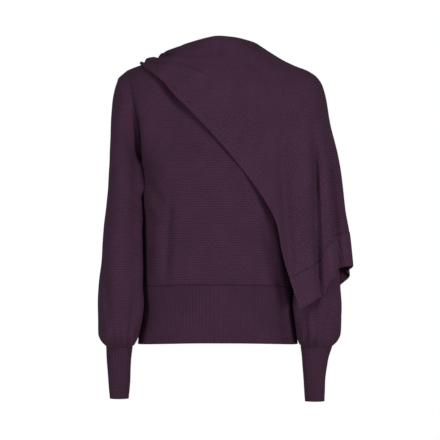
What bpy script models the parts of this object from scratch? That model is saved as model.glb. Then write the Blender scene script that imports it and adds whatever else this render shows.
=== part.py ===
"""A fine-knit sweater with a draped scarf, filled out as when worn, as thin cloth walls.

Frame: metres, +Z up, the front faces -Y, the wearer's right sleeve is at -X.
The origin is midway between the two neck ends of the shoulder seams, where the wearer holds it up.
Lengths in the tables are in millimetres.
"""

import math

import bpy
import numpy as np

MM = 0.001

# Cloth and seams
CLOTH = 1.8  # wall of the fine jersey
SCARF_CLOTH = 1.6  # wall of the lighter scarf
SEAM_GAP = 0.3  # between two pieces that are sewn together
FOLD_SHARE = 0.3  # how much a border at a sharp fold is drawn into the cloth
RIB_HEIGHT = 0.5  # how far a rib stands out of its band

# How finely the walls are divided
PANEL_COLUMNS = 26  # from side seam to side seam
SHOULDER_COLUMNS = 8  # of those, under each shoulder seam
LOWER_ROWS = 5  # from the hem rib up to the armhole
ARMHOLE_ROWS = 9  # from the foot of the armhole up to the shoulder
RIBS_PER_COLUMN = 3  # hem rib and neckband
CUFF_RIBS_PER_COLUMN = 2
SCARF_EDGE_COLUMNS = 22
SCARF_END_COLUMNS = 46
SCARF_ROWS = 16
SCARF_RIBS_PER_COLUMN = 2

# Levels of the body: height, half width, depth to the front and to the back, squareness.
BODY_LEVELS = {
    "columns": ("z", "half_width", "front", "back", "square"),
    "rows": (
        (-604, 167.5, 102, 98, 2.3),
        (-582, 165.5, 103, 99, 2.3),
        (-545, 162.0, 104, 99, 2.3),
        (-500, 160.0, 107, 101, 2.3),
        (-484, 159.5, 109, 102, 2.3),
        (-470, 160.0, 113, 105, 2.3),
        (-420, 160.0, 117, 107, 2.3),
        (-350, 160.5, 119, 106, 2.3),
        (-290, 161.5, 119, 105, 2.3),
        (-226, 161.5, 116, 104, 2.3),
    ),
}
HEM_Z = -604
HEM_RIB_Z = -484
HEM_RISE_FRONT = 5.5  # the hem and its rib sit higher in the middle than at the side seams
HEM_RISE_BACK = 1.0
HEM_RISE_TOP = -380
HEM_RISE_RUN = 100.0  # the rows reach that rise this far below HEM_RISE_TOP
HEM_MIDDLE_Z = -550
ARMHOLE_DIP = 22.0  # rows of knitting dip this far in the middle, level with the armpits
DIP_POWER = 0.5  # below 1, the dip starts steeply at the side seams
BLOUSE_ROW_DROP = 18.0  # the first row above the hem rib lies lower, where the cloth blouses

# The armhole is an oval: its top is the shoulder point, its foot the armpit.
ARMHOLE = {
    "top_x": 190.0,
    "top_z": -31.5,
    "left_top_z": -37.0,  # lower, under the scarf
    "foot_x": 161.5,
    "foot_z": -226.0,
    "half_depth": 62.0,
    "lean": 1.7,  # above 1, its lower part stays near the chest
}

# The shoulder seam runs from the armhole's top to the neck, and the neckline dips from there.
NECK = {
    "half_width": 86.0,
    "seam_y": 4.0,
    "front_depth": 70.0,
    "front_drop": 78.0,
    "back_depth": 60.0,
    "back_drop": 14.0,
    "drop_power": 1.15,
}
SHOULDER_RISE = 4.4  # the seam rounds this far above a straight line
SIDE_REACH = 0.42  # share of a panel's width that the armhole's curve draws forward
SIDE_POWER = 1.4  # above 1, most of that draw stays near the armhole
SHOULDER_ROLL = 1.0  # a panel rolls fully over the shoulder, and less over the chest
CHEST_ROLL = 0.35
ROLL_START = 0.6  # where one roll gives way to the other, in widths of the shoulder seam
ROLL_SPAN = 0.9

NECKBAND = {
    "rise_side": 13.0,
    "rise_front": 16.0,
    "rise_back": 16.0,
    "narrower": 11.0,
    "middle_share": 0.55,
    "lean_power": 1.3,
}

# Rings of a sleeve, from the shoulder down: its outer point, its inner point, the middle's
# place and half its depth from front to back. The last three columns move the left sleeve,
# which hangs a little differently: its outer point, its inner point, and the whole ring back.
SLEEVE_RINGS = {
    "columns": (
        "outer_x",
        "outer_z",
        "inner_x",
        "inner_z",
        "mid_y",
        "half_depth",
        "left_outer",
        "left_inner",
        "left_back",
    ),
    "rows": (
        (208.5, -47, 163.3, -231, -1, 62, -2.5, 0, 0),
        (217.0, -71, 163.8, -240, -2, 61, -3.0, 0, 0),
        (221.5, -98, 163.2, -252, -5, 60, -3.5, 0, 1),
        (223.5, -130, 162.4, -270, -10, 59, -3.5, 0.5, 3),
        (225.5, -175, 161.0, -294, -17, 57, -3, 1, 5),
        (228.0, -230, 160.0, -325, -25, 56, -1, 1.5, 8),
        (231.5, -285, 159.3, -362, -30, 55, 0, 2, 10),
        (236.0, -340, 158.8, -402, -33, 54, 3, 2.5, 11),
        (240.5, -395, 158.7, -440, -36, 53, 7, 2.5, 12),
        (244.5, -450, 158.7, -480, -38, 53, 9, 2.5, 13),
        (247.5, -505, 159.0, -520, -39, 54, 9, 1.5, 13),
        (249.2, -550, 161.0, -552, -40, 55, 8, 0.5, 12),
        (248.5, -580, 165.5, -578, -40, 52, 6.5, -1.5, 11),
        (242.5, -595, 170.5, -594, -39, 45, 6, -4.5, 10),
        (235.5, -603, 175.0, -603, -38, 36, 5.5, -5.5, 9),
        (232.5, -608, 178.5, -608, -38, 29, 5, -6.5, 9),
    ),
}

SLEEVE_CAP_END = -130.0  # above this the left sleeve follows its lower shoulder
SLEEVE_CAP = 80.0

# Rings of a cuff, from the sleeve down, in the same columns.
CUFF_RINGS = {
    "columns": SLEEVE_RINGS["columns"],
    "rows": (
        (232.5, -608, 178.5, -608, -38, 29, 5, -6.5, 9),
        (231.0, -640, 182.5, -640, -39, 26.5, -2.5, -7, 8),
        (228.5, -680, 184.0, -680, -40, 24.5, -4.5, -5.5, 8),
        (226.0, -716, 186.0, -716, -41, 23, -4.5, -4.5, 8),
    ),
}
LEFT_CUFF_LONGER = 6.0

# Levels of the scarf as a whole cape: height, half width, depths, squareness, and how far
# its middle lies towards the wearer's left.
SCARF_LEVELS = {
    "columns": ("z", "half_width", "front", "back", "square", "middle"),
    "rows": (
        (46, 24, 45, 40, 2.0, 1),
        (40, 42, 50, 46, 2.0, 1),
        (33, 60, 54, 50, 2.0, 2),
        (25, 78, 57, 54, 2.0, 3),
        (16, 92, 60, 57, 2.0, 3),
        (4, 113, 65, 62, 2.0, 2),
        (-8, 137, 70, 67, 2.0, -1),
        (-21, 167, 75, 73, 2.0, -4),
        (-31.5, 193, 80, 79, 2.1, -3),
        (-45, 210, 84, 84, 2.25, -1.5),
        (-62, 219, 90, 89, 2.4, 0),
        (-90, 226.5, 96, 96, 2.6, 0),
        (-143, 237, 107, 103, 2.7, 0),
        (-210, 253, 118, 110, 2.7, 0),
        (-300, 265.5, 126, 115, 2.6, 0),
        (-440, 284.5, 127, 115, 2.6, 0),
        (-560, 294, 124, 113, 2.6, 0),
    ),
}

# Height of the scarf's upper edge round the neck, by ring angle (0 is the wearer's right).
SCARF_RIM = {
    "columns": ("angle", "z"),
    "rows": (
        (-15, 5),
        (0, 9),
        (15, 17.5),
        (30, 27),
        (60, 35.5),
        (90, 38.5),
        (120, 37),
        (150, 33),
        (180, 25),
        (210, 12),
        (238, 1),
    ),
}

# The scarf's front edge, as it crosses the chest: place across and height.
SCARF_EDGE = {
    "columns": ("x", "z"),
    "rows": (
        (-190, 3),
        (-158, -22),
        (-119, -53),
        (-92, -84),
        (-50, -126),
        (7, -188),
        (57, -249),
        (99, -309),
        (123, -356),
        (131, -398),
        (141, -438),
        (150, -466),
        (168, -528),
    ),
}

# The scarf's end, by ring angle: heights of the rib's seam and of its lower edge.
SCARF_END = {
    "columns": ("angle", "seam_z", "edge_z"),
    "rows": (
        (115.3, -466, -533),
        (119.5, -455, -528),
        (127.5, -438, -510),
        (133.5, -424, -498),
        (138, -401, -475),
        (142, -392, -464),
        (147, -387, -458),
        (151, -377, -446),
        (158, -372, -441),
        (172, -370, -440),
        (185, -384, -452),
        (194, -395, -463),
        (205, -412, -481),
        (226, -437, -507),
        (238, -459, -529),
    ),
}
SCARF_START_ANGLE = -15.0
SCARF_SEAM_ANGLE = 115.3  # the rib's seam meets the front edge here
SCARF_CORNER_ANGLE = 119.5
SCARF_BACK_ANGLE = 238.0
SCARF_LOWEST_Z = -560.0  # no part of the front edge is looked for below this

# Rows of the scarf are closer together where it turns over the shoulder.
SHOULDER_TURN = {"share": 0.27, "half_width": 0.10, "extra": 2.6}

# Folds that hang from the shoulder: ring angle at the top and at the end, half width in
# degrees, depth, how many degrees its bottom leans over, and the heights where it starts
# and where it is at its deepest.
SCARF_FOLDS = {
    "columns": ("angle", "end_angle", "half_width", "depth", "lean", "start_z", "full_z"),
    "rows": (
        (105, 98, 6, 4, 0, -150, -240),
        (118, 116, 7, 9, 0, -80, -300),
        (145, 130, 5, 13, 2.5, -80, -350),
        (161, 149.5, 5, 13, -2.5, -80, -380),
        (184, 185, 6, 11, 1.5, -80, -360),
        (204, 206, 6.5, 13, -1.5, -80, -330),
        (224, 222, 7, 12, 0, -110, -330),
    ),
}

# Pleats that fan out from the right shoulder: where each crosses the scarf, as a share of
# its width there and at the front, height, half width as a share, and how far round it runs.
SCARF_PLEATS = {
    "columns": ("share", "front_share", "height", "half_width", "reach"),
    "rows": (
        (0.95, 0.90, 5.0, 0.06, 45),
        (0.87, 0.74, -3.0, 0.06, 50),
        (0.74, 0.44, 7.0, 0.14, 110),
        (0.46, 0.25, -3.0, 0.10, 70),
        (0.24, 0.10, 5.0, 0.12, 95),
    ),
}
PLEAT_START = 6.0  # degrees over which the pleats rise from the sewn end

SHARP_ANGLE = 50.0  # edges sharper than this many degrees are shaded sharp

PLUM = (0.047, 0.020, 0.040, 1.0)
PLUM_SCARF = (0.052, 0.022, 0.045, 1.0)
PLUM_RIB = (0.043, 0.018, 0.037, 1.0)


def monotone_slopes(x, y):
    """Slopes of a smooth curve through the points that never overshoots them."""
    step = np.diff(x)
    rise = np.diff(y) / step
    slopes = np.zeros(len(x))
    for i in range(1, len(x) - 1):
        if rise[i - 1] * rise[i] > 0:
            before = 2 * step[i] + step[i - 1]
            after = step[i] + 2 * step[i - 1]
            slopes[i] = (before + after) / (before / rise[i - 1] + after / rise[i])
    slopes[0] = rise[0]
    slopes[-1] = rise[-1]
    return slopes


def smooth_curve(x, y):
    """A function that follows the points smoothly, and goes straight on past its ends."""
    x = np.asarray(x, float)
    y = np.asarray(y, float)
    slopes = monotone_slopes(x, y)

    def value(at):
        at = np.asarray(at, float)
        i = np.clip(np.searchsorted(x, at) - 1, 0, len(x) - 2)
        step = x[i + 1] - x[i]
        t = (at - x[i]) / step
        inside = np.clip(t, 0, 1)
        a = inside * inside * (3 - 2 * inside)
        bend = inside * (1 - inside) * step
        curve = y[i] * (1 - a) + y[i + 1] * a
        curve = curve + bend * ((1 - inside) * slopes[i] - inside * slopes[i + 1])
        past = (t - inside) * step
        return curve + past * np.where(t > 1, slopes[i + 1], slopes[i])

    return value


def table_curves(table, along):
    """One smooth function for each column of a table, by the column named along."""
    names = table["columns"]
    rows = np.array(table["rows"], float)
    rows = rows[np.argsort(rows[:, names.index(along)])]
    x = rows[:, names.index(along)]
    return {name: smooth_curve(x, rows[:, k]) for k, name in enumerate(names) if name != along}


def smooth_step(x):
    x = np.clip(x, 0, 1)
    return x * x * (3 - 2 * x)


def signed_power(value, power):
    return np.sign(value) * np.abs(value) ** power


def level_point(level, angle, z):
    """Point of a level's outline at a height: angle 0 is at -X, 90 at the front, 180 at +X."""
    turn = np.radians(angle)
    power = 2 / level["square"](z)
    depth = np.where(np.sin(turn) >= 0, level["front"](z), level["back"](z))
    x = -level["half_width"](z) * signed_power(np.cos(turn), power)
    y = -depth * signed_power(np.sin(turn), power)
    return x, y


def armhole_point(turn, left):
    """Point of an armhole: turn 0 is the shoulder point, 90 the front, 180 the armpit."""
    a = np.radians(turn)
    share = (1 + np.cos(a)) / 2
    top_z = ARMHOLE["left_top_z" if left else "top_z"]
    x = ARMHOLE["foot_x"] + (ARMHOLE["top_x"] - ARMHOLE["foot_x"]) * share ** ARMHOLE["lean"]
    z = ARMHOLE["foot_z"] + (top_z - ARMHOLE["foot_z"]) * share
    return np.array([x if left else -x, -ARMHOLE["half_depth"] * np.sin(a), z])


def top_edge(front):
    """A panel's upper edge from its -X end: shoulder seam, neckline, shoulder seam."""
    depth = -NECK["front_depth"] if front else NECK["back_depth"]
    drop = NECK["front_drop"] if front else NECK["back_drop"]
    neck_columns = PANEL_COLUMNS - 2 * SHOULDER_COLUMNS
    points = []
    for j in range(PANEL_COLUMNS + 1):
        near = min(j, PANEL_COLUMNS - j)
        side = -1 if j <= PANEL_COLUMNS // 2 else 1
        if near <= SHOULDER_COLUMNS:
            s = near / SHOULDER_COLUMNS
            x = ARMHOLE["top_x"] + (NECK["half_width"] - ARMHOLE["top_x"]) * s
            y = NECK["seam_y"] * s
            top_z = ARMHOLE["top_z" if side < 0 else "left_top_z"]
            z = top_z * (1 - s) + SHOULDER_RISE * math.sin(math.pi * s)
            points.append((side * x, y, z))
        else:
            a = math.pi * (j - SHOULDER_COLUMNS) / neck_columns
            x = -NECK["half_width"] * math.cos(a)
            y = NECK["seam_y"] + (depth - NECK["seam_y"]) * math.sin(a)
            points.append((x, y, -drop * math.sin(a) ** NECK["drop_power"]))
    return np.array(points)


def body_half_ring(z, front):
    """Half of the body's ring at a height, from the right side seam to the left one."""
    level = table_curves(BODY_LEVELS, "z")
    angle = np.linspace(0, 180, PANEL_COLUMNS + 1)
    middle = np.sin(np.radians(angle))
    middle[[0, -1]] = 0
    dip = ARMHOLE_DIP * smooth_step((z - HEM_RISE_TOP) / (ARMHOLE["foot_z"] - HEM_RISE_TOP))
    rise = HEM_RISE_FRONT if front else HEM_RISE_BACK
    rise = rise * smooth_step((HEM_RISE_TOP - z) / HEM_RISE_RUN)
    height = z - dip * middle ** DIP_POWER + rise * middle ** 2
    x, y = level_point(level, angle if front else -angle, height)
    return np.stack([x, y, height], axis=1)


def panel_grid(front):
    """Points of the front or back panel, row by row from the hem rib to the shoulder."""
    rows = []
    lower = np.linspace(HEM_RIB_Z, ARMHOLE["foot_z"], LOWER_ROWS + 1)
    lower[1:-1] += np.linspace(-BLOUSE_ROW_DROP, 0, LOWER_ROWS - 1)
    for z in lower:
        rows.append(body_half_ring(z, front))
    foot = rows[-1]
    top = top_edge(front)
    share = np.linspace(0, 1, PANEL_COLUMNS + 1)
    near = np.minimum(share, 1 - share)
    shoulder_share = SHOULDER_COLUMNS / PANEL_COLUMNS
    roll_mix = smooth_step((near / shoulder_share - ROLL_START) / ROLL_SPAN)
    roll = SHOULDER_ROLL + (CHEST_ROLL - SHOULDER_ROLL) * roll_mix
    pull = smooth_step(1 - near / SIDE_REACH) ** SIDE_POWER
    for i in range(1, ARMHOLE_ROWS + 1):
        t = i / ARMHOLE_ROWS
        up = (1 - roll) * t + roll * math.sin(t * math.pi / 2)
        over = (1 - roll) * t + roll * (1 - math.cos(t * math.pi / 2))
        row = foot.copy()
        row[:, 0] += (top[:, 0] - foot[:, 0]) * t
        row[:, 1] += (top[:, 1] - foot[:, 1]) * over
        row[:, 2] += (top[:, 2] - foot[:, 2]) * up
        turn = 180 - 180 * t if front else 180 + 180 * t
        to_right = armhole_point(turn, False) - row[0]
        to_left = armhole_point(turn, True) - row[-1]
        row += pull[:, None] * np.where(share[:, None] <= 0.5, to_right, to_left)
        rows.append(row)
    rows[-1] = top
    return np.array(rows)


def hem_grid(front):
    return np.array([body_half_ring(z, front) for z in (HEM_Z, HEM_MIDDLE_Z, HEM_RIB_Z)])


def ring_between(outer, inner, half_depth, count):
    """A closed loop through an outer and an inner point, bulging to the front and the back."""
    middle = (outer + inner) / 2
    a = np.linspace(0, 2 * math.pi, count, endpoint=False)[:, None]
    forward = np.array([0.0, -half_depth, 0.0])
    return middle + np.cos(a) * (outer - middle) + np.sin(a) * forward


def tube_rings(table, left, count, longer=0.0):
    """The rings of a sleeve or cuff, on the wearer's left or right."""
    rings = []
    last_z = table["rows"][-1][1]
    for row in table["rows"]:
        ring = dict(zip(table["columns"], row))
        stretch = longer * (ring["outer_z"] == last_z)
        outer_x = ring["outer_x"] + left * ring["left_outer"]
        inner_x = ring["inner_x"] + left * ring["left_inner"]
        mid_y = ring["mid_y"] + left * ring["left_back"]
        cap = smooth_step((ring["outer_z"] - SLEEVE_CAP_END) / SLEEVE_CAP)
        drop = left * (ARMHOLE["top_z"] - ARMHOLE["left_top_z"]) * cap
        outer = np.array([-outer_x, mid_y, ring["outer_z"] - stretch - drop])
        inner = np.array([-inner_x, mid_y, ring["inner_z"] - stretch])
        points = ring_between(outer, inner, ring["half_depth"], count)
        rings.append(points * (-1, 1, 1) if left else points)
    return rings


def sleeve_grid(left):
    count = 2 * ARMHOLE_ROWS
    turns = np.linspace(0, 360, count, endpoint=False)
    armhole = np.array([armhole_point(turn, left) for turn in turns])
    return np.array([armhole] + tube_rings(SLEEVE_RINGS, left, count))


def cuff_grid(left):
    longer = LEFT_CUFF_LONGER if left else 0.0
    return np.array(tube_rings(CUFF_RINGS, left, 2 * ARMHOLE_ROWS, longer))


def neckband_grid():
    """The neckband stands on the neckline and leans in towards the neck."""
    front = top_edge(True)[SHOULDER_COLUMNS : PANEL_COLUMNS - SHOULDER_COLUMNS + 1]
    back = top_edge(False)[SHOULDER_COLUMNS : PANEL_COLUMNS - SHOULDER_COLUMNS + 1]
    foot = np.concatenate([front, back[-2:0:-1]])
    rows = []
    for t in (0.0, NECKBAND["middle_share"], 1.0):
        row = foot.copy()
        facing = np.clip(-foot[:, 1] / NECK["front_depth"], -1, 1)
        rise = NECKBAND["rise_side"] + np.where(
            facing > 0,
            facing * (NECKBAND["rise_front"] - NECKBAND["rise_side"]),
            -facing * (NECKBAND["rise_back"] - NECKBAND["rise_side"]),
        )
        lean = 1 - NECKBAND["narrower"] / NECK["half_width"] * t ** NECKBAND["lean_power"]
        row[:, 0] *= lean
        row[:, 1] *= lean
        row[:, 2] += rise * t
        rows.append(row)
    return np.array(rows)


def scarf_surface():
    """The whole cape that the scarf is a part of, and its edges, as functions."""
    level = table_curves(SCARF_LEVELS, "z")
    rim = table_curves(SCARF_RIM, "angle")["z"]
    edge = table_curves(SCARF_EDGE, "x")["z"]
    end = table_curves(SCARF_END, "angle")
    return level, rim, edge, end


def cape_point(level, angle, z):
    x, y = level_point(level, angle, z)
    return np.stack([x + level["middle"](z), y, z + 0 * x], axis=-1)


def cape_normal(level, angle, z):
    """Outward direction of the cape's surface at a ring angle and height."""
    across = cape_point(level, angle + 0.5, z) - cape_point(level, angle - 0.5, z)
    up = cape_point(level, angle, z + 1) - cape_point(level, angle, z - 1)
    normal = np.cross(across, up)
    return normal / np.linalg.norm(normal, axis=-1, keepdims=True)


def edge_height(level, rim, edge, angle):
    """Where the column at this ring angle meets the scarf's front edge."""
    high, low = float(rim(angle)), SCARF_LOWEST_Z
    for _ in range(50):
        z = (high + low) / 2
        x = float(cape_point(level, np.array(angle), np.array(z))[0])
        if z > float(edge(x)):
            high = z
        else:
            low = z
    return (high + low) / 2


def foot_height(level, rim, edge, end, angle):
    """The height at which a column of the plain scarf ends: at its front edge or the rib."""
    if angle <= SCARF_SEAM_ANGLE:
        return edge_height(level, rim, edge, angle)
    return float(end["seam_z"](angle))


def spread_angles(foot, first, last, count, evenness):
    """Ring angles from first to last, spaced along the scarf's foot and, partly, by angle."""
    fine = np.linspace(first, last, 300)
    points = np.array([foot(a) for a in fine])
    run = np.concatenate([[0], np.cumsum(np.linalg.norm(np.diff(points, axis=0), axis=1))])
    mixed = evenness * run / run[-1] + (1 - evenness) * np.linspace(0, 1, len(fine))
    return np.interp(np.linspace(0, 1, count + 1), mixed, fine)


def row_shares(count):
    """Shares down a column, closer together where the scarf turns over the shoulder."""
    fine = np.linspace(0, 1, 400)
    away = (fine - SHOULDER_TURN["share"]) / SHOULDER_TURN["half_width"]
    density = 1 + SHOULDER_TURN["extra"] * np.exp(-away * away)
    run = np.concatenate([[0], np.cumsum((density[1:] + density[:-1]) / 2)])
    return np.interp(np.linspace(0, 1, count + 1), run / run[-1], fine)


def column_points(level, angle, top_z, foot_z, shares):
    """Points down the cape from top_z to foot_z, at shares of the way along its surface."""
    fine = np.linspace(top_z, foot_z, 160)
    points = cape_point(level, np.full(len(fine), angle), fine)
    run = np.concatenate([[0], np.cumsum(np.linalg.norm(np.diff(points, axis=0), axis=1))])
    z = np.interp(shares * run[-1], run, fine)
    return cape_point(level, np.full(len(shares), angle), z)


def fold_shift(angle, z):
    """How far the hanging folds draw the cloth in at a ring angle and height, and sideways."""
    depth = np.zeros(np.broadcast(angle, z).shape)
    lean = depth.copy()
    for row in SCARF_FOLDS["rows"]:
        fold = dict(zip(SCARF_FOLDS["columns"], row))
        down = np.clip((fold["start_z"] - z) / (fold["start_z"] - fold["full_z"]), 0, 1)
        centre = fold["angle"] + (fold["end_angle"] - fold["angle"]) * down
        away = (angle - centre) / fold["half_width"]
        strength = smooth_step(down) * np.exp(-away * away)
        depth += fold["depth"] * strength
        lean += fold["lean"] * strength
    return depth, lean


def folded_point(level, angle, z, lift=0.0):
    """Point of the cape with its hanging folds, lifted off it by a height."""
    depth, lean = fold_shift(angle, z)
    angle = angle + lean
    return cape_point(level, angle, z) + cape_normal(level, angle, z) * (lift - depth)[..., None]


def pleat_height(angle, share):
    """How far the pleats at the right shoulder lift the cloth."""
    height = np.zeros(np.broadcast(angle, share).shape)
    for row in SCARF_PLEATS["rows"]:
        pleat = dict(zip(SCARF_PLEATS["columns"], row))
        round_share = np.clip(angle / 90, 0, 1.2)
        centre = pleat["share"] + (pleat["front_share"] - pleat["share"]) * round_share
        away = (share - centre) / pleat["half_width"]
        fade = 1 - smooth_step(angle / pleat["reach"])
        rise = smooth_step((angle - SCARF_START_ANGLE) / PLEAT_START)
        height += pleat["height"] * fade * rise * np.exp(-away * away)
    return height


def grid_normals(points, closed):
    """Outward normals of a grid whose rows run up and whose columns run to the right."""
    if closed:
        across = np.roll(points, -1, axis=1) - np.roll(points, 1, axis=1)
    else:
        across = np.gradient(points, axis=1)
    up = np.gradient(points, axis=0)
    normals = np.cross(across, up)
    return normals / np.linalg.norm(normals, axis=2, keepdims=True)


def scarf_grid(level, rim, edge, end, angles):
    """Points of the plain scarf, row by row from its foot up to its rim."""
    shares = row_shares(SCARF_ROWS)
    grid = []
    for angle in angles:
        foot_z = foot_height(level, rim, edge, end, angle)
        grid.append(column_points(level, angle, float(rim(angle)), foot_z, shares))
    points = np.array(grid).transpose(1, 0, 2)[::-1]
    angle_grid = np.broadcast_to(angles, points.shape[:2])
    share_grid = np.broadcast_to(shares[::-1, None], points.shape[:2])
    return folded_point(level, angle_grid, points[..., 2], pleat_height(angle_grid, share_grid))


def scarf_rib_grid(level, end, angles):
    """Points of the rib at the scarf's end, from its lower edge up to its seam."""
    first, last = angles[0], angles[-1]
    share = (angles - first) / (last - first)
    low_angles = SCARF_CORNER_ANGLE + (last - SCARF_CORNER_ANGLE) * share
    rows = []
    for t in (0.0, 0.5, 1.0):
        angle = low_angles * (1 - t) + angles * t
        z = end["edge_z"](low_angles) * (1 - t) + end["seam_z"](angles) * t
        rows.append(folded_point(level, angle, z))
    return np.array(rows)


def shared_normals(grids):
    """Normals of every grid, alone and made equal where two pieces meet at a seam."""
    own = {name: grid_normals(points, closed) for name, (points, closed) in grids.items()}
    shared = {}
    totals = {}
    keys = {}
    for name, (points, _) in grids.items():
        flat = [tuple(key) for key in np.round(points.reshape(-1, 3), 2)]
        keys[name] = flat
        for key, normal in zip(flat, own[name].reshape(-1, 3)):
            totals.setdefault(key, []).append(normal)
    armhole_middle = np.array([0, 0, (ARMHOLE["top_z"] + ARMHOLE["foot_z"]) / 2])
    for name, (points, _) in grids.items():
        made = []
        for key in keys[name]:
            total = sum(totals[key]) / len(totals[key])
            # at the armpit body and sleeve fold back to back, and only the way down is left
            away = (np.array(key) - armhole_middle) * (0, 1, 1)
            total = total + (1 - np.linalg.norm(total)) * away / max(np.linalg.norm(away), 1)
            made.append(total / np.linalg.norm(total))
        shared[name] = np.array(made).reshape(points.shape)
    return own, shared


def finer(grid, closed, parts):
    """The grid with each of its columns divided into parts."""
    count = grid.shape[1] if closed else grid.shape[1] - 1
    columns = []
    for j in range(count):
        after = grid[:, (j + 1) % grid.shape[1]]
        columns += [grid[:, j] * (1 - k / parts) + after * (k / parts) for k in range(parts)]
    if not closed:
        columns.append(grid[:, -1])
    return np.array(columns).transpose(1, 0, 2)


def without(vectors, direction):
    """The vectors less their part along a direction."""
    direction = direction / np.linalg.norm(direction, axis=1, keepdims=True)
    return vectors - (vectors * direction).sum(axis=1, keepdims=True) * direction


def border_shift(edge, inside, own, shared, closed):
    """Half a seam's gap, away from the seam: within the cloth, or into it at a sharp fold."""
    way = inside - edge
    way = way / np.linalg.norm(way, axis=1, keepdims=True)
    if closed:
        seam = np.roll(edge, -1, axis=0) - np.roll(edge, 1, axis=0)
    else:
        seam = np.gradient(edge, axis=0)
    shift = without(without(way - FOLD_SHARE * own, shared), without(seam, shared))
    return SEAM_GAP / 2 * shift / np.linalg.norm(shift, axis=1, keepdims=True)


def parted(points, own, shared, closed):
    """The grid with its open borders drawn in by half a seam's gap."""
    made = points.copy()
    for edge, inside in ((0, 1), (-1, -2)):
        made[edge] += border_shift(
            points[edge], points[inside], own[edge], shared[edge], closed
        )
    if not closed:
        for edge, inside in ((0, 1), (-1, -2)):
            made[:, edge] += border_shift(
                points[:, edge], points[:, inside], own[:, edge], shared[:, edge], False
            )
    return made


def stitch(faces, vertices, outer, inner, parts, flip):
    """Triangles that close a wall's border, split the same way on both sides of a seam."""
    for j in range(len(inner) - 1):
        run = outer[j * parts : (j + 1) * parts + 1]
        ahead = np.linalg.norm(vertices[inner[j]] - vertices[run[-1]])
        behind = np.linalg.norm(vertices[inner[j + 1]] - vertices[run[0]])
        turn = parts if ahead < behind else 0
        made = [(inner[j], run[k], run[k + 1]) for k in range(turn)]
        made.append((inner[j], run[turn], inner[j + 1]))
        made += [(inner[j + 1], run[k], run[k + 1]) for k in range(turn, parts)]
        faces.extend(tuple(reversed(face)) if flip else face for face in made)


def wall(name, points, own, shared, closed, thickness, colour, ribs=0):
    """A closed wall of cloth: the outer points, an inner copy of them, and its borders."""
    inner = parted(points - shared * thickness, own, shared, closed)
    outer = points
    parts = 1
    if ribs:
        parts = 2 * ribs
        outer, own, shared = [finer(grid, closed, parts) for grid in (points, own, shared)]
        outer[:, 1::2] += shared[:, 1::2] * RIB_HEIGHT
    outer = parted(outer, own, shared, closed)
    rows, inner_columns = inner.shape[:2]
    outer_columns = outer.shape[1]
    vertices = np.concatenate([outer.reshape(-1, 3), inner.reshape(-1, 3)]) * MM
    start = rows * outer_columns
    faces = []

    def grid_faces(first, columns, flip):
        for i in range(rows - 1):
            for j in range(columns if closed else columns - 1):
                k = (j + 1) % columns
                low, high = first + i * columns, first + (i + 1) * columns
                face = (low + j, low + k, high + k, high + j)
                faces.append(tuple(reversed(face)) if flip else face)

    grid_faces(0, outer_columns, False)
    grid_faces(start, inner_columns, True)
    for row, flip in ((0, False), (rows - 1, True)):
        outside = [row * outer_columns + j for j in range(outer_columns)]
        inside = [start + row * inner_columns + j for j in range(inner_columns)]
        if closed:
            outside.append(outside[0])
            inside.append(inside[0])
        stitch(faces, vertices, outside, inside, parts, not flip)
    if not closed:
        for column, inner_column, flip in ((0, 0, True), (-1, -1, False)):
            outside = [(i + 1) * outer_columns - 1 if column else i * outer_columns for i in range(rows)]
            inside = [
                start + ((i + 1) * inner_columns - 1 if inner_column else i * inner_columns)
                for i in range(rows)
            ]
            stitch(faces, vertices, outside, inside, 1, not flip)
    mesh = bpy.data.meshes.new(name)
    mesh.from_pydata([tuple(v) for v in vertices], [], faces)
    mesh.shade_smooth()
    mesh.set_sharp_from_angle(angle=math.radians(SHARP_ANGLE))
    mesh.materials.append(knit_material(name, colour))
    piece = bpy.data.objects.new(name, mesh)
    bpy.context.scene.collection.objects.link(piece)
    return piece


def knit_material(name, colour):
    material = bpy.data.materials.new(name)
    material.use_nodes = True
    surface = material.node_tree.nodes["Principled BSDF"]
    surface.inputs["Base Color"].default_value = colour
    surface.inputs["Roughness"].default_value = 0.85
    surface.inputs["Metallic"].default_value = 0.0
    return material


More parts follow.
